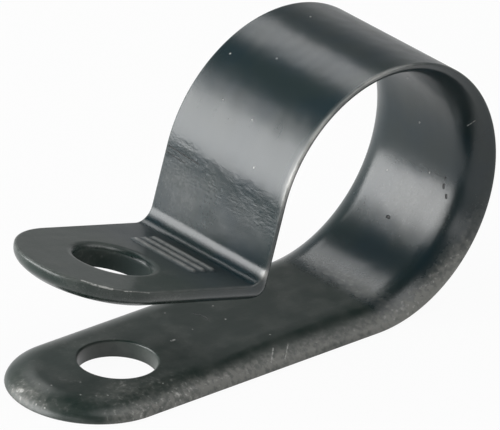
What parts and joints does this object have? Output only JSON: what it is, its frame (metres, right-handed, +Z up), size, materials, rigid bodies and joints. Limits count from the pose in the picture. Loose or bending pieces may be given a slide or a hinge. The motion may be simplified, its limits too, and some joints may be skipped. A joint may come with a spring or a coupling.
{
  "type": "cable clamp",
  "caption": "Moulded black nylon P-shaped strap clamp: a flat screw leg, a round cable loop and a folded screw flange that closes on the leg.",
  "frame": {"origin": "centre of the screw hole in the flat leg, on the leg's underside", "axes": "+Z up along that hole's axis, +X from the screw hole towards the loop, +Y along the loop's axis, across the strap"},
  "size_m": [0.0294, 0.0096, 0.0161],
  "materials": {
    "black_nylon": "satin"
  },
  "bodies": {
    "root": {"clamp_strap": "black_nylon"}
  },
  "joints": []
}
